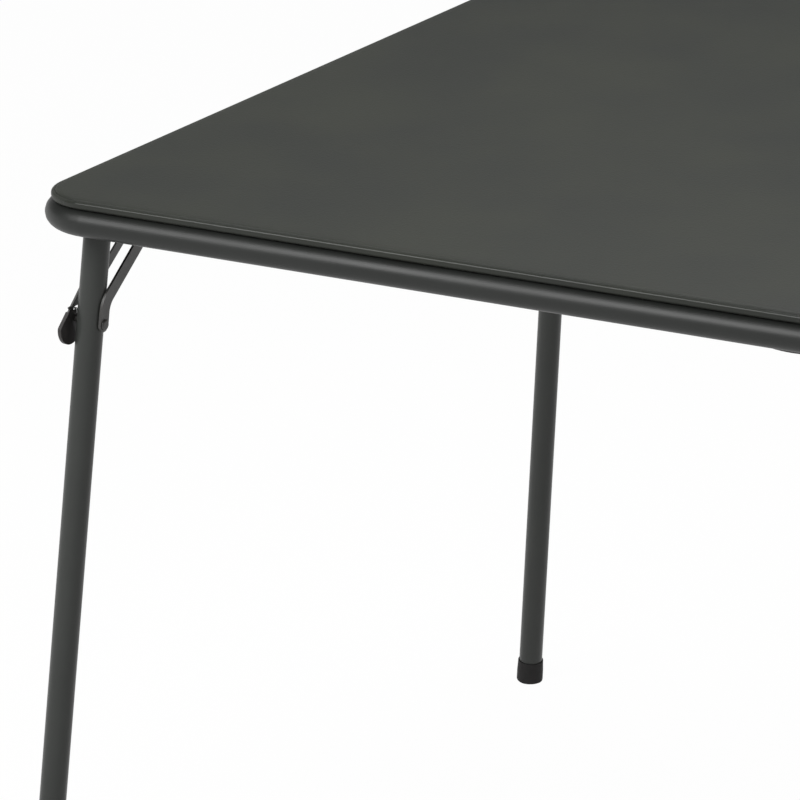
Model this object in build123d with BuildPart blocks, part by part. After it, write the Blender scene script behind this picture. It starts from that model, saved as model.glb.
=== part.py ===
from build123d import *
from math import asin, atan2, cos, degrees, pi, radians, sin, sqrt, tan
import os

# Folding card table, millimetres and degrees.
# +X runs along the front rail, +Y to the back and +Z up, with the origin on the floor
# under the middle of the top. One corner, the front left, is drawn; the other three are
# quarter turns of it, so each leg folds along its own rail and no two of them cross.

# The whole table
table_width = 873.0
table_height = 711.0

# Panel: a hardboard sheet under a foam pad, with a vinyl cover drawn round both
panel_inset = 6.2
panel_corner = 47.3
vinyl_thickness = 0.8
board_thickness = 3.2
board_inset = 1.6
foam_thickness = 3.2
foam_inset = 2.4
pad_edge_radius = 1.3
lip_height = 6.6
lip_upper_radius = 2.2
lip_lower_radius = 3.0
lip_fill_radius = 0.5
hem_width = 72.0

# Frame: one round tube bent into a hoop
rail_diameter = 22.0
rail_wall = 1.2
bend_radius = 45.0
drain_hole_diameter = 3.0

# Legs
leg_diameter = 22.0
leg_wall = 1.0
pivot_inset_x = 44.0
pivot_inset_y = 48.8
pivot_drop = 8.0
side_splay = 3.6
fold_lean = 5.1
leg_top_overrun = 6.0

# Foot caps
cap_diameter = 25.0
cap_mouth_diameter = 24.0
cap_height = 22.0
cap_floor = 4.0
cap_foot_radius = 2.2
cap_flat_depth = 1.0

# Leg brackets
plate_thickness = 1.5
ear_thickness = 2.0
ear_width = 16.6
ear_clearance = 0.4
bracket_reach = 62.0
bracket_breadth = 46.0
weld_gap = 0.05

# Rivets, pins and their fits
pivot_rivet_diameter = 6.0
brace_rivet_diameter = 5.8
guide_pin_diameter = 6.0
rivet_head_diameter = 9.0
rivet_head_height = 1.6
running_clearance = 0.06
side_clearance = 0.1
slot_clearance = 0.25
moving_gap = 0.3

# Brace straps: each is a dog-leg strap from the leg's rivet to a pin in the guide
brace_rivet_reach = 83.8
brace_thickness = 2.0
brace_width = 12.0
brace_length = 133.6
guide_pin_drop = 11.0
knee_reach = 18.2
knee_radius = 20.0

# Slide guides
guide_margin = 4.8
guide_tab_width = 14.0
guide_tab_depth = 15.0
guide_steps = 8

# Lock levers
spring_space = 2.2
lever_thickness = 1.6
lever_arm_length = 143.0
lever_arm_width = 8.9
hook_radius = 6.8
catch_stud_diameter = 6.0
catch_drop = 6.6
lever_edge_angle = 44.3
lever_edge_reach = 13.2
lever_edge_length = 23.0
upper_edge_share = 0.4
lower_edge_share = 0.105
paddle_radius = 15.3
paddle_out = 7.0
paddle_drop = 3.7
paddle_corner_radius = 3.0
grip_wall = 0.7
grip_start = 6.6

# Lever springs
spring_wire_diameter = 1.6
spring_coil_radius = 5.6
spring_tail = 14.0
spring_end = 4.6
spring_end_angle = 10.0
spring_slot_radius = 9.0
spring_slot_width = 3.4
spring_slot_start = 20.0
spring_slot_end = 106.0

# Panel screws
screw_diameter = 3.5
screw_head_diameter = 7.0
screw_head_height = 1.8
screw_bite = 2.4
screw_edge = 7.0
screw_ease = 0.1

# Sizes that follow from the ones above
rail_radius = rail_diameter / 2
leg_radius = leg_diameter / 2
half_width = table_width / 2
rail_middle = half_width - rail_radius
panel_thickness = vinyl_thickness * 2 + board_thickness + foam_thickness
hoop_top = table_height - panel_thickness
rail_height = hoop_top - rail_radius
panel_width = table_width - 2 * panel_inset
hem_opening = panel_width - 2 * hem_width
board_bottom = hoop_top + vinyl_thickness
foam_bottom = board_bottom + board_thickness
foam_top = foam_bottom + foam_thickness
lip_top = hoop_top + lip_height

# The plane that one leg folds in: its own x runs along the side rail, its y runs up, and
# its z, the pivot's axis, points to the middle of the table
pivot_height = rail_height - pivot_drop
pivot = Vector(pivot_inset_x - half_width, pivot_inset_y - half_width, pivot_height)
pivot_axis = Vector(cos(radians(side_splay)), 0, -sin(radians(side_splay)))
fold_plane = Plane(origin=pivot, x_dir=(0, 1, 0), z_dir=pivot_axis)
lean = radians(fold_lean)
leg_axis = fold_plane.x_dir * -sin(lean) + fold_plane.y_dir * -cos(lean)
leg_plane = Plane(origin=pivot, x_dir=pivot_axis, z_dir=leg_axis)
panel_above_pivot = hoop_top - pivot_height

# Distances from the fold plane to the faces of the flat pieces beside the leg
ear_face = leg_radius + ear_clearance
brace_face = leg_radius + moving_gap
brace_head_face = brace_face + brace_thickness + side_clearance
guide_face = brace_head_face + rivet_head_height + moving_gap
guide_head_face = guide_face + plate_thickness + moving_gap
lever_face = leg_radius + spring_space + moving_gap
lever_back = lever_face + lever_thickness
lever_head_face = lever_back + side_clearance

# The brace's two ends at rest, the turns that take the leg and brace to the folded pose, and
# where the lever's hook meets the catch stud beside the rail
brace_foot = Vector(-sin(lean), -cos(lean)) * brace_rivet_reach
brace_turn = asin((panel_above_pivot - guide_pin_drop - brace_foot.Y) / brace_length)
leg_turn = pi / 2 + lean
lever_arm_angle = degrees(asin((pivot_drop - catch_drop - brace_foot.Y) / lever_arm_length))
catch_point = brace_foot + Vector(lever_arm_length, 0).rotate(Axis.Z, lever_arm_angle)

corner_turns = {"front_left": 0, "back_left": -90, "back_right": 180, "front_right": 90}

os.makedirs("parts", exist_ok=True)


def save(part, name):
    part.label = name
    export_step(part, f"parts/{name}.step")


def save_at_corners(part, name):
    for corner, turn in corner_turns.items():
        save(part.rotate(Axis.Z, turn), f"{corner}_{name}")


def guide_point(share):
    """Where the brace's pin is when this share of the fold has been made."""
    leg_angle = leg_turn * (1 - share)
    angle = brace_turn * (1 - share)
    rivet = Vector(cos(leg_angle), -sin(leg_angle)) * brace_rivet_reach
    return rivet + Vector(cos(angle), sin(angle)) * brace_length


def guide_heading(share):
    """Unit vector along the pin's path at that share of the fold."""
    leg_angle = leg_turn * (1 - share)
    angle = brace_turn * (1 - share)
    speed = Vector(sin(leg_angle), cos(leg_angle)) * brace_rivet_reach * leg_turn
    speed += Vector(sin(angle), -cos(angle)) * brace_length * brace_turn
    return speed.normalized()


def guide_edge(half_breadth):
    """Points of the pin's path, moved sideways by half a breadth."""
    shares = [step / guide_steps for step in range(guide_steps + 1)]
    sides = [guide_heading(share).rotate(Axis.Z, 90) * half_breadth for share in shares]
    return [guide_point(share) + side for share, side in zip(shares, sides)]


def guide_band(half_breadth):
    """Face of the band that the pin's path runs down the middle of, with round ends."""
    upper = guide_edge(half_breadth)
    lower = guide_edge(-half_breadth)
    start = guide_point(0) - guide_heading(0) * half_breadth
    end = guide_point(1) + guide_heading(1) * half_breadth
    with BuildSketch(mode=Mode.PRIVATE) as band:
        with BuildLine():
            Spline(*upper)
            ThreePointArc(upper[-1], end, lower[-1])
            Spline(*lower)
            ThreePointArc(lower[0], start, upper[0])
        make_face()
    return band.sketch


def panel_slab(inset, bottom, top):
    """A slab with the panel's outline, drawn in by the inset."""
    with BuildPart(mode=Mode.PRIVATE) as slab:
        with BuildSketch(Plane.XY.offset(bottom)):
            width = panel_width - 2 * inset
            RectangleRounded(width, width, panel_corner - inset)
        extrude(amount=top - bottom)
    return slab


# Screw places in one corner: two in the bracket's plate, two in the guide's tabs
pivot_x = pivot.X
pivot_y = pivot.Y
rail_shoulder = sqrt(rail_radius**2 - (rail_radius - plate_thickness) ** 2)
plate_edge = rail_shoulder + weld_gap - rail_middle
bracket_screws = [
    (plate_edge + bracket_breadth - screw_edge, plate_edge + screw_edge),
    (plate_edge + screw_edge, plate_edge + bracket_reach - screw_edge),
]
guide_x = pivot_x + guide_face
guide_ends = [guide_point(0).X, guide_point(1).X]
guide_screws = [(guide_x + guide_tab_depth - screw_edge, pivot_y + end) for end in guide_ends]
screw_places = [
    Vector(*place).rotate(Axis.Z, turn)
    for turn in corner_turns.values()
    for place in bracket_screws + guide_screws
]

# Hardboard sheet
with BuildPart() as board:
    add(panel_slab(board_inset, board_bottom, foam_bottom).part)
    with Locations(Plane.XY.offset(board_bottom)):
        with Locations(*screw_places):
            Cylinder(
                screw_diameter / 2 + screw_ease,
                screw_bite,
                align=(Align.CENTER, Align.CENTER, Align.MIN),
                mode=Mode.SUBTRACT,
            )
save(board.part, "hardboard_panel")

# Foam pad: a lower part that fills the lip and an upper part that is stepped in from it
with BuildPart() as foam:
    add(panel_slab(vinyl_thickness, foam_bottom, lip_top - vinyl_thickness).part)
    fillet(
        foam.faces().sort_by(Axis.Z)[-1].edges(),
        radius=lip_fill_radius,
    )
    add(panel_slab(foam_inset + vinyl_thickness, foam_bottom, foam_top).part)
    fillet(
        foam.faces().sort_by(Axis.Z)[-1].edges(),
        radius=pad_edge_radius - vinyl_thickness,
    )
save(foam.part, "foam_pad")

# Vinyl cover: it rounds over the pad, down over a lip round the board's edge, and under it
with BuildPart() as cover:
    add(panel_slab(0, hoop_top, lip_top).part)
    fillet(cover.faces().sort_by(Axis.Z)[0].edges(), radius=lip_lower_radius)
    fillet(cover.faces().sort_by(Axis.Z)[-1].edges(), radius=lip_upper_radius)
    add(panel_slab(foam_inset, hoop_top, table_height).part)
    fillet(cover.faces().sort_by(Axis.Z)[-1].edges(), radius=pad_edge_radius)
    add(panel_slab(board_inset, board_bottom, foam_bottom).part, mode=Mode.SUBTRACT)
    add(foam.part, mode=Mode.SUBTRACT)
    with BuildSketch(Plane.XY.offset(hoop_top)):
        Rectangle(hem_opening, hem_opening)
    extrude(amount=vinyl_thickness, mode=Mode.SUBTRACT)
    with Locations(Plane.XY.offset(hoop_top)):
        with Locations(*screw_places):
            Cylinder(
                screw_diameter / 2 + screw_ease,
                vinyl_thickness,
                align=(Align.CENTER, Align.CENTER, Align.MIN),
                mode=Mode.SUBTRACT,
            )
save(cover.part, "vinyl_cover")

# Frame hoop: bent tube, with a small drain hole under the middle of the back rail
with BuildSketch(Plane.XY.offset(rail_height)) as hoop_line:
    RectangleRounded(2 * rail_middle, 2 * rail_middle, bend_radius)
hoop_path = hoop_line.sketch.face().outer_wire()
with BuildPart() as hoop:
    with BuildSketch(Plane(origin=hoop_path @ 0, z_dir=hoop_path % 0)):
        Circle(rail_radius)
        Circle(rail_radius - rail_wall, mode=Mode.SUBTRACT)
    sweep(path=hoop_path)
    with BuildSketch(Plane.XY.offset(rail_height)):
        with Locations((0, rail_middle)):
            Circle(drain_hole_diameter / 2)
    extrude(amount=-rail_diameter, mode=Mode.SUBTRACT)
save(hoop.part, "frame_hoop")

# Leg bracket: a plate welded to the hoop's shoulder in the corner and screwed to the panel,
# with two ears that hang down on each side of the leg
plate_corner = bend_radius - rail_shoulder - weld_gap
with BuildPart() as bracket:
    with BuildSketch(Plane.XY.offset(hoop_top - plate_thickness)) as plate:
        with Locations((plate_edge, plate_edge)):
            Rectangle(bracket_breadth, bracket_reach, align=(Align.MIN, Align.MIN))
        fillet(plate.vertices().group_by(Axis.Y)[0].sort_by(Axis.X)[0], radius=plate_corner)
        fillet(plate.vertices().group_by(Axis.Y)[-1], radius=screw_edge)
    extrude(amount=plate_thickness)
    for face in (ear_face, -ear_face - ear_thickness):
        with BuildSketch(fold_plane.offset(face)):
            Circle(ear_width / 2)
            Rectangle(ear_width, panel_above_pivot, align=(Align.CENTER, Align.MIN))
            Circle(pivot_rivet_diameter / 2, mode=Mode.SUBTRACT)
        extrude(amount=ear_thickness)
    split(bisect_by=Plane.XY.offset(hoop_top), keep=Keep.BOTTOM)
    with Locations(Plane.XY.offset(hoop_top)):
        with Locations(*bracket_screws):
            Hole(screw_diameter / 2, depth=plate_thickness)
save_at_corners(bracket.part, "leg_bracket")

# Panel screws: pan heads under the plates and tabs, shanks in the board
with BuildPart() as screws:
    with BuildSketch(Plane.XY.offset(hoop_top - plate_thickness)):
        with Locations(*screw_places):
            Circle(screw_head_diameter / 2)
    extrude(amount=-screw_head_height)
    fillet(
        screws.faces().filter_by(Axis.Z).group_by(Axis.Z)[0].edges(),
        radius=screw_head_height / 2,
    )
    with BuildSketch(Plane.XY.offset(hoop_top - plate_thickness)):
        with Locations(*screw_places):
            Circle(screw_diameter / 2)
    extrude(amount=plate_thickness + vinyl_thickness + screw_bite)
save(screws.part, "panel_screws")


def cross_rivet(inner_face, outer_face, diameter):
    """A rivet along the fold plane's axis, with a round head outside each face."""
    with BuildPart(mode=Mode.PRIVATE) as rivet:
        with BuildSketch(fold_plane.offset(-outer_face - rivet_head_height)):
            with Locations(rivet_centre):
                Circle(rivet_head_diameter / 2)
        extrude(amount=rivet_head_height)
        fillet(
            rivet.faces().sort_by(fold_plane_axis)[0].edges(),
            radius=rivet_head_height - side_clearance,
        )
        with BuildSketch(fold_plane.offset(inner_face)):
            with Locations(rivet_centre):
                Circle(rivet_head_diameter / 2)
        extrude(amount=rivet_head_height)
        fillet(
            rivet.faces().sort_by(fold_plane_axis)[-1].edges(),
            radius=rivet_head_height - side_clearance,
        )
        with BuildSketch(fold_plane.offset(-outer_face)):
            with Locations(rivet_centre):
                Circle(diameter / 2)
        extrude(amount=inner_face + outer_face)
    return rivet.part


fold_plane_axis = Axis(pivot, pivot_axis)

# Pivot rivets, through the ears and the leg's top
rivet_centre = Vector()
ear_outside = ear_face + ear_thickness
save_at_corners(cross_rivet(ear_outside, ear_outside, pivot_rivet_diameter), "pivot_rivet")

# Brace rivets, through the strap, the leg and the lock lever
rivet_centre = brace_foot
brace_rivet = cross_rivet(brace_head_face, lever_head_face, brace_rivet_diameter)
save_at_corners(brace_rivet, "brace_rivet")

# The leg's tilt fixes how far down its axis the cap's rounded rim is, worn flat at the floor
leg_drop = -leg_axis.Z
leg_slant = sqrt(1 - leg_drop**2)
rim_reach = (cap_diameter / 2 - cap_foot_radius) * leg_slant + cap_foot_radius
cap_end = (pivot_height + cap_flat_depth - rim_reach) / leg_drop + cap_foot_radius
leg_end = cap_end - cap_floor

# Leg tubes, drilled for both rivets
with BuildPart() as leg:
    with BuildSketch(leg_plane.offset(-leg_top_overrun)):
        Circle(leg_radius)
        Circle(leg_radius - leg_wall, mode=Mode.SUBTRACT)
    extrude(amount=leg_end + leg_top_overrun)
    with BuildSketch(fold_plane.offset(-leg_diameter)):
        Circle(pivot_rivet_diameter / 2 + running_clearance)
        with Locations(brace_foot):
            Circle(brace_rivet_diameter / 2)
    extrude(amount=2 * leg_diameter, mode=Mode.SUBTRACT)
save_at_corners(leg.part, "leg_tube")

# Foot caps: a cup pushed on to the leg, tapered up to its mouth and rounded at the floor
with BuildPart() as cap:
    with BuildSketch(leg_plane.offset(cap_end - cap_height)):
        Circle(cap_mouth_diameter / 2)
    with BuildSketch(leg_plane.offset(cap_end - cap_height / 2)):
        Circle(cap_diameter / 2)
    loft()
    with BuildSketch(leg_plane.offset(cap_end - cap_height / 2)):
        Circle(cap_diameter / 2)
    extrude(amount=cap_height / 2)
    fillet(cap.faces().sort_by(Axis(pivot, leg_axis))[-1].edges(), radius=cap_foot_radius)
    with BuildSketch(leg_plane.offset(cap_end - cap_height)):
        Circle(leg_radius)
    extrude(amount=cap_height - cap_floor, mode=Mode.SUBTRACT)
    split(bisect_by=Plane.XY, keep=Keep.TOP)
save_at_corners(cap.part, "foot_cap")

# Brace straps: straight from the guide pin down to a knee, then along the leg
brace_head = guide_point(0)
knee = brace_foot + Vector(sin(lean), cos(lean)) * knee_reach
with BuildPart() as brace:
    with BuildSketch(fold_plane.offset(brace_face)):
        with BuildLine():
            FilletPolyline(brace_head, knee, brace_foot, radius=knee_radius)
            offset(amount=brace_width / 2)
        make_face()
        with Locations(brace_head):
            Circle(guide_pin_diameter / 2, mode=Mode.SUBTRACT)
        with Locations(brace_foot):
            Circle(brace_rivet_diameter / 2 + running_clearance, mode=Mode.SUBTRACT)
    extrude(amount=brace_thickness)
save_at_corners(brace.part, "brace_strap")

# Guide pins: flush in the strap, with a collar beside it and a head beyond the guide
with BuildPart() as guide_pin:
    for near, far, diameter in (
        (brace_face, guide_head_face, guide_pin_diameter),
        (brace_face + brace_thickness, guide_face - moving_gap, rivet_head_diameter),
        (guide_head_face, guide_head_face + rivet_head_height, rivet_head_diameter),
    ):
        with BuildSketch(fold_plane.offset(near)):
            with Locations(brace_head):
                Circle(diameter / 2)
        extrude(amount=far - near)
save_at_corners(guide_pin.part, "guide_pin")

# Slide guides: a stamped band with a curved slot for the pin, hung from the panel by a tab
# at each end of the slot
with BuildPart() as guide:
    with BuildSketch(fold_plane.offset(guide_face)):
        add(guide_band(guide_pin_diameter / 2 + guide_margin))
        with Locations(*[(end, 0) for end in guide_ends]):
            hanger = 2 * panel_above_pivot
            Rectangle(guide_tab_width, hanger, align=(Align.CENTER, Align.MIN))
        add(guide_band(guide_pin_diameter / 2 + slot_clearance), mode=Mode.SUBTRACT)
    extrude(amount=plate_thickness)
    split(bisect_by=Plane.XY.offset(hoop_top), keep=Keep.BOTTOM)
    with BuildSketch(Plane.XY.offset(hoop_top - plate_thickness)):
        with Locations(*[(guide_x, pivot_y + end) for end in guide_ends]):
            Rectangle(guide_tab_depth, guide_tab_width, align=(Align.MIN, Align.CENTER))
    extrude(amount=plate_thickness)
    with Locations(Plane.XY.offset(hoop_top)):
        with Locations(*guide_screws):
            Hole(screw_diameter / 2, depth=plate_thickness)
save_at_corners(guide.part, "slide_guide")

# Lock lever outline: a narrow arm up to its hook, widest at the rivet, and a round paddle
# on the far side of the leg, cut off straight along its upper edge
arm_way = Vector(1, 0).rotate(Axis.Z, lever_arm_angle)
arm_side = arm_way.rotate(Axis.Z, 90) * (lever_arm_width / 2)
paddle_centre = brace_foot - Vector(paddle_out, paddle_drop)
edge_way = Vector(1, 0).rotate(Axis.Z, lever_edge_angle)
edge_foot = brace_foot + edge_way.rotate(Axis.Z, 90) * lever_edge_reach
upper_corner = edge_foot + edge_way * lever_edge_length
upper_joint = brace_foot + arm_way * (lever_arm_length * upper_edge_share) + arm_side
lower_joint = brace_foot + arm_way * (lever_arm_length * lower_edge_share) - arm_side


def lever_outline(grow):
    """The lever's face in the fold plane, grown all round by a wall."""
    with BuildSketch(mode=Mode.PRIVATE) as outline:
        with BuildLine():
            Polyline(
                paddle_centre,
                edge_foot,
                upper_corner,
                upper_joint,
                catch_point + arm_side,
                catch_point - arm_side,
                lower_joint,
                paddle_centre + Vector(paddle_radius, 0),
                close=True,
            )
        make_face()
        with Locations(paddle_centre):
            Circle(paddle_radius)
        with Locations(Location(edge_foot, (0, 0, lever_edge_angle))):
            Rectangle(
                2 * lever_edge_length,
                lever_arm_length,
                align=(Align.MAX, Align.MIN),
                mode=Mode.SUBTRACT,
            )
        paddle_tip = outline.vertices().sort_by_distance(edge_foot - edge_way * lever_arm_length)[0]
        fillet(paddle_tip, radius=paddle_corner_radius)
        with Locations(catch_point):
            Circle(hook_radius)
        if grow:
            offset(amount=grow)
    return outline.sketch


# Lock levers, with an arc slot round the rivet for the spring's end
spring_slot_span = spring_slot_end - spring_slot_start
spring_slot_arc = CenterArc((0, 0), spring_slot_radius, spring_slot_start, spring_slot_span)
notch_radius = catch_stud_diameter / 2 + moving_gap
with BuildPart() as lever:
    with BuildSketch(fold_plane.offset(-lever_back)):
        add(lever_outline(0))
        with Locations(brace_foot):
            Circle(brace_rivet_diameter / 2 + running_clearance, mode=Mode.SUBTRACT)
            SlotArc(spring_slot_arc, spring_slot_width, mode=Mode.SUBTRACT)
        with Locations(Location(catch_point, (0, 0, lever_arm_angle))):
            Circle(notch_radius, mode=Mode.SUBTRACT)
            Rectangle(
                2 * notch_radius,
                2 * hook_radius,
                align=(Align.CENTER, Align.MAX),
                mode=Mode.SUBTRACT,
            )
    extrude(amount=lever_thickness)
save_at_corners(lever.part, "lock_lever")

# Lever grips: a soft vinyl dip over the paddle
paddle_way = (paddle_centre - brace_foot).normalized()
grip_edge = brace_foot + paddle_way * grip_start
grip_turn = degrees(atan2(paddle_way.Y, paddle_way.X))
with BuildPart() as grip:
    with BuildSketch(fold_plane.offset(-lever_back - grip_wall)):
        add(lever_outline(grip_wall))
        with Locations(Location(grip_edge, (0, 0, grip_turn))):
            Rectangle(
                lever_arm_length,
                lever_arm_length,
                align=(Align.MIN, Align.CENTER),
                mode=Mode.INTERSECT,
            )
    extrude(amount=lever_thickness + 2 * grip_wall)
    add(lever.part, mode=Mode.SUBTRACT)
save_at_corners(grip.part, "lever_grip")

# Catch studs, welded to the inside of each rail where the lever's hook comes down; each is
# drawn in to the rail's middle and then cut off at the tube
catch_stud_length = rail_middle + pivot.X - lever_back - moving_gap
with BuildPart() as stud:
    with BuildSketch(fold_plane.offset(-lever_back - moving_gap)):
        with Locations(catch_point):
            Circle(catch_stud_diameter / 2)
    extrude(amount=-catch_stud_length)
    with BuildSketch(Plane.XZ.offset(half_width)):
        with Locations((-rail_middle, rail_height)):
            Circle(rail_radius)
    extrude(amount=-table_width, mode=Mode.SUBTRACT)
with BuildPart() as studs:
    for turn in corner_turns.values():
        add(stud.part.rotate(Axis.Z, turn))
save(studs.part, "catch_studs")

# Lever springs: bent wire that arches over the rivet between the leg and the lever, with
# one end along the leg and the other out through the lever's slot
spring_face = -leg_radius - spring_space / 2
spring_centre = (fold_plane.offset(spring_face) * Location(brace_foot)).position
spring_plane = Plane(origin=spring_centre, x_dir=fold_plane.x_dir, z_dir=pivot_axis)
spring_exit = Vector(0, spring_slot_radius).rotate(Axis.Z, spring_end_angle)
spring_top = spring_exit.normalized() * spring_coil_radius
with BuildPart() as spring:
    with BuildLine(spring_plane) as spring_line:
        Line((spring_coil_radius, -spring_tail), (spring_coil_radius, 0))
        CenterArc((0, 0), spring_coil_radius, 0, 90 + spring_end_angle)
        Line((spring_top.X, spring_top.Y), (spring_exit.X, spring_exit.Y))
        Line((spring_exit.X, spring_exit.Y), (spring_exit.X, spring_exit.Y, -spring_end))
    with BuildSketch(Plane(origin=spring_line.line @ 0, z_dir=spring_line.line % 0)):
        Circle(spring_wire_diameter / 2)
    sweep(path=spring_line.line, transition=Transition.ROUND)
save_at_corners(spring.part, "lever_spring")
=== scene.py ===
from math import cos, pi, radians, sin

import bmesh
import bpy
from mathutils import Matrix, Vector


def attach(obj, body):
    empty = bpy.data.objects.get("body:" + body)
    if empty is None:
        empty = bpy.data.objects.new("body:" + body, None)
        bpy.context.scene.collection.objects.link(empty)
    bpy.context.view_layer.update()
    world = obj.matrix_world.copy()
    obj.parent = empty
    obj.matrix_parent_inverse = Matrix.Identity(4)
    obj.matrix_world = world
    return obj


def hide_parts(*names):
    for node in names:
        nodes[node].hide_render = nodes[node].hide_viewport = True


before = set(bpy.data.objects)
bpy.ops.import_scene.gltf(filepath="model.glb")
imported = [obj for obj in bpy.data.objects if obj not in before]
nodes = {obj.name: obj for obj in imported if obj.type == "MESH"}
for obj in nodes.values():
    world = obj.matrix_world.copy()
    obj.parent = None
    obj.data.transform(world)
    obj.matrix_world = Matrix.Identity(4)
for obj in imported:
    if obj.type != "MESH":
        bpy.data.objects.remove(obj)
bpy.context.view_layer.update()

# Camera.
# A long lens well back from the table, turned to its front left corner. Its place and its
# three turns come from a match on the legs and on the edges of the top.
camera_place = (1.76701, -3.68843, 1.84041)
camera_swing = radians(29.7569)
camera_tilt = radians(90 - 18.3816)
camera_roll = radians(-0.3977)
camera_data = bpy.data.cameras.new("camera")
camera_data.sensor_width = 36
camera_data.lens = 234.25
camera_data.clip_end = 50
camera = bpy.data.objects.new("camera", camera_data)
camera.matrix_world = (
    Matrix.Translation(camera_place)
    @ Matrix.Rotation(camera_swing, 4, "Z")
    @ Matrix.Rotation(camera_tilt, 4, "X")
    @ Matrix.Rotation(camera_roll, 4, "Z")
)
bpy.context.scene.collection.objects.link(camera)
bpy.context.scene.camera = camera


def linear(hex_colour):
    """A colour written in sRGB hex, as the linear RGBA that the shaders take."""
    parts = [int(hex_colour[i : i + 2], 16) / 255 for i in (0, 2, 4)]
    return [c / 12.92 if c < 0.04045 else ((c + 0.055) / 1.055) ** 2.4 for c in parts] + [1]


def add_node(look, kind, inputs, **settings):
    """Adds a node with its settings; an input is a value or another node's output."""
    made = look.node_tree.nodes.new("ShaderNode" + kind)
    for name, value in settings.items():
        setattr(made, name, value)
    for name, value in inputs.items():
        if isinstance(value, bpy.types.NodeSocket):
            look.node_tree.links.new(value, made.inputs[name])
        else:
            made.inputs[name].default_value = value
    return made


def start_material(name):
    """An empty material, and where a point of the surface is on its piece."""
    material = bpy.data.materials.new(name)
    material.use_nodes = True
    material.node_tree.nodes.clear()
    return material, add_node(material, "TexCoord", {}).outputs["Object"]


def end_material(material, shader):
    """Makes a shader the look of the material's surface."""
    add_node(material, "OutputMaterial", {"Surface": shader.outputs[0]})


def tones(material, height, dark, light, low=0.0, high=1.0):
    """A colour that runs from dark to light as the height goes from low to high."""
    ramp = add_node(material, "ValToRGB", {"Fac": height})
    ramp.color_ramp.elements[0].color = linear(dark)
    ramp.color_ramp.elements[1].color = linear(light)
    ramp.color_ramp.elements[0].position = low
    ramp.color_ramp.elements[1].position = high
    return ramp.outputs["Color"]


def graded(material, height, start, end, low=0.35, high=0.65):
    """A number that runs from start to end as the height goes from low to high."""
    made = add_node(
        material,
        "MapRange",
        {"Value": height, "From Min": low, "From Max": high, "To Min": start, "To Max": end},
    )
    return made.outputs["Result"]


def dress(material, *names):
    """Puts a material in every slot of the named CAD nodes."""
    for name in names:
        for slot in nodes[name].material_slots:
            slot.material = material


# The fibres are pressed in clumps of about 2.6 mm
hardboard, spot = start_material("hardboard")
fibres = add_node(hardboard, "TexNoise", {"Vector": spot, "Scale": 380, "Detail": 6})
fibre_bump = add_node(
    hardboard, "Bump", {"Height": fibres.outputs[0], "Strength": 0.3, "Distance": 0.0002}
)
hardboard_look = add_node(
    hardboard,
    "BsdfPrincipled",
    {
        "Base Color": tones(hardboard, fibres.outputs[0], "3d2a1a", "6d4b2c", 0.3, 0.7),
        "Normal": fibre_bump.outputs[0],
        "Roughness": 0.45,
    },
)
end_material(hardboard, hardboard_look)
dress(hardboard, "hardboard_panel")

# Foam pad.
# A sheet of cut polyurethane foam, cream and quite matt, lies on the board under the cover.
# It has the panel's outline, is thin at the rim, where it fills the lip, and has a soft edge.
half_panel = 0.4303
panel_corner = 0.0473
board_top = 0.707
vinyl = 0.0008
foam_rim = 0.0013


def outline(inset, height):
    """A new mesh: one face with the panel's outline, drawn in by the inset."""
    made = bmesh.new()
    bmesh.ops.create_grid(made, x_segments=1, y_segments=1, size=half_panel - inset)
    bmesh.ops.bevel(
        made,
        geom=made.verts[:],
        offset=panel_corner - inset,
        affect="VERTICES",
        segments=16,
        profile=0.5,
        material=-1,
    )
    bmesh.ops.translate(made, verts=made.verts[:], vec=(0, 0, height))
    return made


def slab(inset, height, thickness):
    """A new mesh with the panel's outline, and its upper and lower faces."""
    made = outline(inset, height)
    raised = bmesh.ops.extrude_face_region(made, geom=made.faces[:])
    upper = [part for part in raised["geom"] if isinstance(part, bmesh.types.BMFace)][0]
    bmesh.ops.translate(made, verts=upper.verts[:], vec=(0, 0, thickness))
    bmesh.ops.recalc_face_normals(made, faces=made.faces[:])
    lower = [face for face in made.faces if face.normal.z < -0.5][0]
    return made, upper, lower


def step_in(mesh, face, profile):
    """Draws a face in through the profile's points: how far in, and how far out of it."""
    inward, out = profile[0]
    for next_inward, next_out in profile[1:]:
        bmesh.ops.inset_region(
            mesh,
            faces=[face],
            thickness=next_inward - inward,
            depth=next_out - out,
            use_even_offset=True,
            use_boundary=True,
        )
        inward, out = next_inward, next_out


def quarter(inward, out, radius, turns=5):
    """Points of a quarter round that starts upright and ends flat."""
    angles = [pi / 2 * turn / turns for turn in range(turns + 1)]
    return [(inward + radius * (1 - cos(a)), out + radius * sin(a)) for a in angles]


def new_piece(name, mesh, material):
    """Makes a mesh an object with one material, and shades it smooth."""
    data = bpy.data.meshes.new(name)
    mesh.to_mesh(data)
    mesh.free()
    piece = bpy.data.objects.new(name, data)
    bpy.context.scene.collection.objects.link(piece)
    data.materials.append(material)
    data.polygons.foreach_set("use_smooth", [True] * len(data.polygons))
    return piece


# Real cells are about 0.5 mm wide; they are drawn 1.1 mm wide, so that they show at all
foam_look, spot = start_material("polyurethane_foam")
cells = add_node(foam_look, "TexVoronoi", {"Vector": spot, "Scale": 900})
cell_bump = add_node(
    foam_look, "Bump", {"Height": cells.outputs[0], "Strength": 0.6, "Distance": 0.0006}
)
foam_shader = add_node(
    foam_look,
    "BsdfPrincipled",
    {
        "Base Color": tones(foam_look, cells.outputs[0], "cfc8b4", "a59d86"),
        "Normal": cell_bump.outputs[0],
        "Roughness": 0.95,
    },
)
end_material(foam_look, foam_shader)
rim_round = quarter(0, 0, 0.0005)
pad_step = [(0.0028, 0.0005), (0.003, 0.0006)]
foam_round = quarter(0.0032, 0.0012, 0.0007)
foam, foam_upper, foam_lower = slab(vinyl, board_top, foam_rim)
step_in(foam, foam_upper, rim_round + pad_step + foam_round)
foam_piece = new_piece("foam_sheet", foam, foam_look)
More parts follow.
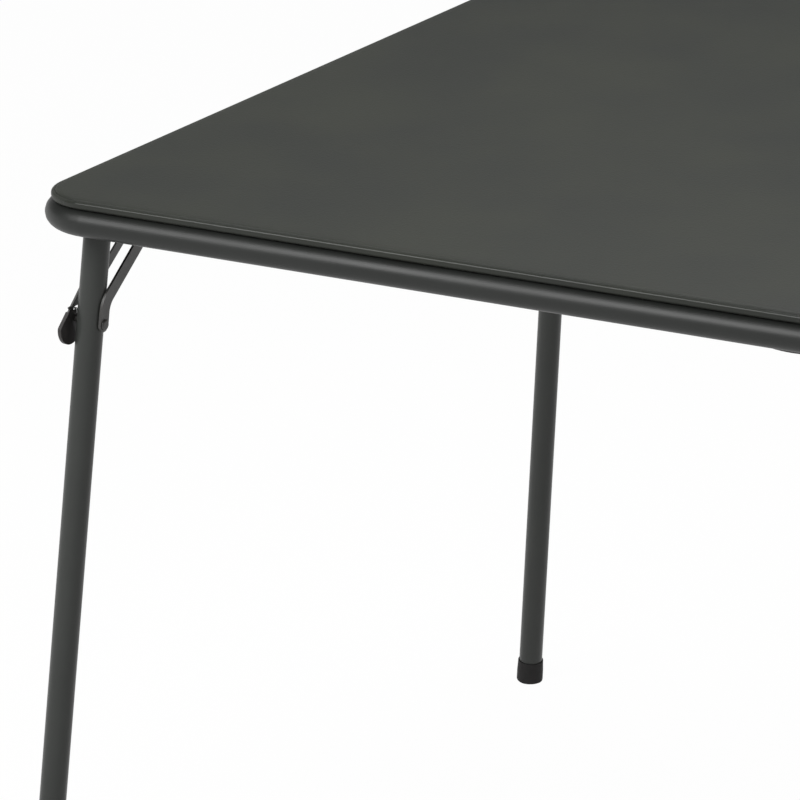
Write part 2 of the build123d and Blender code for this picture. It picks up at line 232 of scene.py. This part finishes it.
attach(foam_piece, "frame")
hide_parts("foam_pad")

# Vinyl cover.
# Grained PVC-coated cloth is stretched over the foam, pinched into a groove, rolled round a
# lip at the board's edge and turned under the panel, where it is glued down as a hem.
hoop_top = 0.703
hem_width = 0.072
turn_radius = 0.003
lip_side = 0.0014
lip_radius = 0.0022
turned_round = quarter(0, 0, turn_radius)
lip_round = quarter(0, 0, lip_radius)
groove = [(0.0026, 0.002), (0.003, 0.0016), (0.0034, 0.0016)]
pad_round = quarter(0.0036, 0.002, 0.0014)
crown = [(0.011, 0.0035), (0.022, 0.00356), (0.036, 0.0036)]

cover, cover_upper, cover_lower = slab(0, hoop_top + turn_radius, lip_side)
step_in(cover, cover_upper, lip_round + groove + pad_round + crown)
step_in(cover, cover_lower, turned_round)
turned_under = list(cover_lower.edges)
bmesh.ops.delete(cover, geom=[cover_lower], context="FACES_ONLY")
opening = bmesh.ops.create_grid(
    cover, x_segments=1, y_segments=1, size=half_panel - hem_width
)
bmesh.ops.translate(cover, verts=opening["verts"], vec=(0, 0, hoop_top))
opening_face = opening["verts"][0].link_faces[0]
hem_edges = list(opening_face.edges)
bmesh.ops.delete(cover, geom=[opening_face], context="FACES_ONLY")
bmesh.ops.triangle_fill(
    cover, edges=turned_under + hem_edges, use_beauty=True, normal=(0, 0, -1)
)
bmesh.ops.recalc_face_normals(cover, faces=cover.faces[:])

# The coating is a half matt grey green. Its real grain, under 1 mm, would not show, so it is
# drawn 1.6 mm wide; hands leave patches of about 110 mm
grained_vinyl, spot = start_material("grained_vinyl")
grain = add_node(
    grained_vinyl, "TexVoronoi", {"Vector": spot, "Scale": 620, "Randomness": 0.9}
)
handling = add_node(grained_vinyl, "TexNoise", {"Vector": spot, "Scale": 9, "Detail": 5})
# Round the lip the grain is pulled flat and glossy; the change lies between two distances
# from the table's middle lines
grain_ends = 0.4272
gloss_starts = 0.4282
sides = add_node(grained_vinyl, "SeparateXYZ", {"Vector": spot})
across = add_node(grained_vinyl, "Math", {0: sides.outputs["X"]}, operation="ABSOLUTE")
along = add_node(grained_vinyl, "Math", {0: sides.outputs["Y"]}, operation="ABSOLUTE")
rim = add_node(
    grained_vinyl, "Math", {0: across.outputs[0], 1: along.outputs[0]}, operation="MAXIMUM"
)
pulled_flat = graded(grained_vinyl, rim.outputs[0], 0.35, 0.08, grain_ends, gloss_starts)
glossy_lip = graded(grained_vinyl, rim.outputs[0], 0.5, 0.16, grain_ends, gloss_starts)
grain_bump = add_node(
    grained_vinyl,
    "Bump",
    {"Height": grain.outputs[0], "Strength": pulled_flat, "Distance": 0.0003},
)
vinyl_look = add_node(
    grained_vinyl,
    "BsdfPrincipled",
    {
        "Base Color": tones(grained_vinyl, handling.outputs[0], "2e302d", "32342f", 0.35, 0.65),
        "Normal": grain_bump.outputs[0],
        "Roughness": glossy_lip,
        "Specular IOR Level": 0.2,
    },
)
end_material(grained_vinyl, vinyl_look)
cover_piece = new_piece("vinyl_skin", cover, grained_vinyl)
thickness = cover_piece.modifiers.new("thickness", "SOLIDIFY")
thickness.thickness = vinyl
thickness.offset = -1
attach(cover_piece, "frame")
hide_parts("vinyl_cover")

# Frame hoop, brackets and catch studs.
# Steel tube and stamped steel, welded together and powder coated: a dark satin plastic
# skin with a fine orange peel, which shows the floor and the lamps as soft bands.
corners = ("front_left", "back_left", "back_right", "front_right")


def powder_coat(name, dark, light, polished, dull, mirror):
    """A baked plastic skin on steel, in two near tones that drift along the piece."""
    # The peel's waves are about 1.1 mm long, and the tones drift over about 80 mm
    coat, spot = start_material(name)
    peel = add_node(coat, "TexNoise", {"Vector": spot, "Scale": 900, "Detail": 2})
    peel_bump = add_node(
        coat, "Bump", {"Height": peel.outputs[0], "Strength": 0.2, "Distance": 0.0002}
    )
    drift = add_node(coat, "TexNoise", {"Vector": spot, "Scale": 12, "Detail": 4})
    skin = add_node(
        coat,
        "BsdfPrincipled",
        {
            "Base Color": tones(coat, drift.outputs[0], dark, light, 0.35, 0.65),
            "Normal": peel_bump.outputs[0],
            "Roughness": graded(coat, drift.outputs[0], polished, dull),
            "Specular IOR Level": mirror,
        },
    )
    end_material(coat, skin)
    return coat


frame_coat = powder_coat(
    "frame_powder_coat", "1c1e1c", "202220", polished=0.4, dull=0.46, mirror=0.4
)
dress(frame_coat, "frame_hoop", "catch_studs")
dress(frame_coat, *[corner + "_leg_bracket" for corner in corners])

# Legs.
# The same kind of steel tube, riveted between each bracket's ears. Its powder coat is a
# lighter grey than the frame's, and mirrors less, so a leg looks evenly grey.
leg_coat = powder_coat(
    "leg_powder_coat", "353735", "3a3c3a", polished=0.34, dull=0.42, mirror=0.32
)
dress(leg_coat, *[corner + "_leg_tube" for corner in corners])

# Foot caps.
# Moulded rubber caps pushed on the legs' ends: a dull black with hardly a mirror in it, and
# a little dust, in blotches of about 6 mm.
rubber, spot = start_material("moulded_rubber")
dust = add_node(rubber, "TexNoise", {"Vector": spot, "Scale": 160, "Detail": 4})
rubber_look = add_node(
    rubber,
    "BsdfPrincipled",
    {
        "Base Color": tones(rubber, dust.outputs[0], "1f1e1e", "2c2b2b", 0.3, 0.7),
        "Roughness": graded(rubber, dust.outputs[0], 0.55, 0.7),
        "Specular IOR Level": 0.2,
    },
)
end_material(rubber, rubber_look)
dress(rubber, *[corner + "_foot_cap" for corner in corners])

# Lever grips.
# The paddles are dipped in liquid vinyl, which sets as a soft black skin, smoother than the
# caps and worn a little shiny by fingers, in smudges of about 8 mm.
dipped_vinyl, spot = start_material("dipped_vinyl")
fingers = add_node(dipped_vinyl, "TexNoise", {"Vector": spot, "Scale": 120, "Detail": 3})
dipped_look = add_node(
    dipped_vinyl,
    "BsdfPrincipled",
    {
        "Base Color": tones(dipped_vinyl, fingers.outputs[0], "343232", "413f3e", 0.3, 0.7),
        "Roughness": graded(dipped_vinyl, fingers.outputs[0], 0.4, 0.55),
        "Specular IOR Level": 0.25,
    },
)
end_material(dipped_vinyl, dipped_look)
dress(dipped_vinyl, *[corner + "_lever_grip" for corner in corners])

# Straps, levers, guides, pins and rivets.
# Stamped and headed steel with a black finish, a little shiny in patches of about 14 mm
# where the pieces rub.
black_steel, spot = start_material("blackened_steel")
rub = add_node(black_steel, "TexNoise", {"Vector": spot, "Scale": 70, "Detail": 5})
black_look = add_node(
    black_steel,
    "BsdfPrincipled",
    {
        "Base Color": tones(black_steel, rub.outputs[0], "343332", "42413f", 0.35, 0.7),
        "Roughness": graded(black_steel, rub.outputs[0], 0.35, 0.5),
    },
)
end_material(black_steel, black_look)
stamped = ("brace_strap", "lock_lever", "slide_guide", "guide_pin")
headed = ("pivot_rivet", "brace_rivet")
for piece in stamped + headed:
    dress(black_steel, *[corner + "_" + piece for corner in corners])

# Lever springs and panel screws.
# Spring wire and screws with a bright zinc plate, gone a little dull in clouds of about
# 3 mm.
zinc, spot = start_material("zinc_plate")
clouds = add_node(zinc, "TexNoise", {"Vector": spot, "Scale": 300, "Detail": 3})
zinc_look = add_node(
    zinc,
    "BsdfPrincipled",
    {
        "Base Color": tones(zinc, clouds.outputs[0], "8f9090", "b4b5b3", 0.3, 0.7),
        "Metallic": 1.0,
        "Roughness": graded(zinc, clouds.outputs[0], 0.28, 0.42),
    },
)
end_material(zinc, zinc_look)
dress(zinc, "panel_screws", *[corner + "_lever_spring" for corner in corners])

# Floor.
# A seamless white floor, lit by the lamps. The eye and mirrors see nearly all of it as plain
# white, with the table's soft shadow left on it.
floor_reach = 12
white_share = 0.98


def seen_by(look):
    """A 1 where the eye sees the look, and a 1 where a mirror or a clear piece does."""
    ray = add_node(look, "LightPath", {})
    mirror = add_node(
        look,
        "Math",
        {0: ray.outputs["Is Glossy Ray"], 1: ray.outputs["Is Transmission Ray"]},
        operation="MAXIMUM",
    )
    return ray.outputs["Is Camera Ray"], mirror.outputs[0]


floor_look, spot = start_material("white_floor")
eye, mirror = seen_by(floor_look)
matt = add_node(floor_look, "BsdfDiffuse", {"Color": linear("f4f4f2")})
plain_white = add_node(floor_look, "Emission", {"Color": linear("ffffff"), "Strength": 1.0})
seen = add_node(floor_look, "Math", {0: eye, 1: mirror}, operation="MAXIMUM")
whiteness = add_node(
    floor_look, "Math", {0: seen.outputs[0], 1: white_share}, operation="MULTIPLY"
)
seen_floor = add_node(
    floor_look,
    "MixShader",
    {0: whiteness.outputs[0], 1: matt.outputs[0], 2: plain_white.outputs[0]},
)
end_material(floor_look, seen_floor)
floor_mesh = bmesh.new()
bmesh.ops.create_grid(floor_mesh, x_segments=1, y_segments=1, size=floor_reach)
floor = new_piece("floor", floor_mesh, floor_look)

# Surround and lamps.
# The eye sees a white surround. Mirrors see it white at the horizon and dark overhead, and it
# lights the table only weakly: two softboxes do that, one over the top, one in front.
white_up_to = 0.05
dark_from = 0.25
dark_level = 0.065
fill_level = 0.1
surround = bpy.data.worlds.new("surround")
bpy.context.scene.world = surround
surround.use_nodes = True
surround.node_tree.nodes.clear()
eye, mirror = seen_by(surround)
direction = add_node(surround, "TexCoord", {}).outputs["Generated"]
height = add_node(surround, "SeparateXYZ", {"Vector": direction}).outputs["Z"]
ceiling = graded(surround, height, 1.0, dark_level, white_up_to, dark_from)
mirrored = add_node(surround, "Math", {0: mirror, 1: ceiling}, operation="MULTIPLY")
looked_at = add_node(surround, "Math", {0: eye, 1: mirrored.outputs[0]}, operation="MAXIMUM")
strength = add_node(
    surround, "Math", {0: looked_at.outputs[0], 1: fill_level}, operation="MAXIMUM"
)
sky = add_node(
    surround, "Background", {"Color": linear("ffffff"), "Strength": strength.outputs[0]}
)
add_node(surround, "OutputWorld", {"Surface": sky.outputs[0]})


def softbox(name, place, aim, width, height, energy):
    """A lamp of soft white light: a level rectangle that faces the point it is aimed at."""
    data = bpy.data.lights.new(name, "AREA")
    data.energy = energy
    data.shape = "RECTANGLE"
    data.size = width
    data.size_y = height
    lamp = bpy.data.objects.new(name, data)
    way = Vector(aim) - Vector(place)
    turn = way.to_track_quat("-Z", "Y").to_matrix().to_4x4()
    lamp.matrix_world = Matrix.Translation(place) @ turn
    bpy.context.scene.collection.objects.link(lamp)


softbox(
    "top_softbox", place=(0.0, 0.5, 2.5), aim=(0.0, -0.1, 0.7), width=1.2, height=1.2, energy=36
)
softbox(
    "front_softbox",
    place=(-0.9, -2.05, 2.25),
    aim=(-0.1, -0.45, 0.7),
    width=2.0,
    height=1.4,
    energy=64,
)
bpy.context.scene.view_settings.view_transform = "Standard"
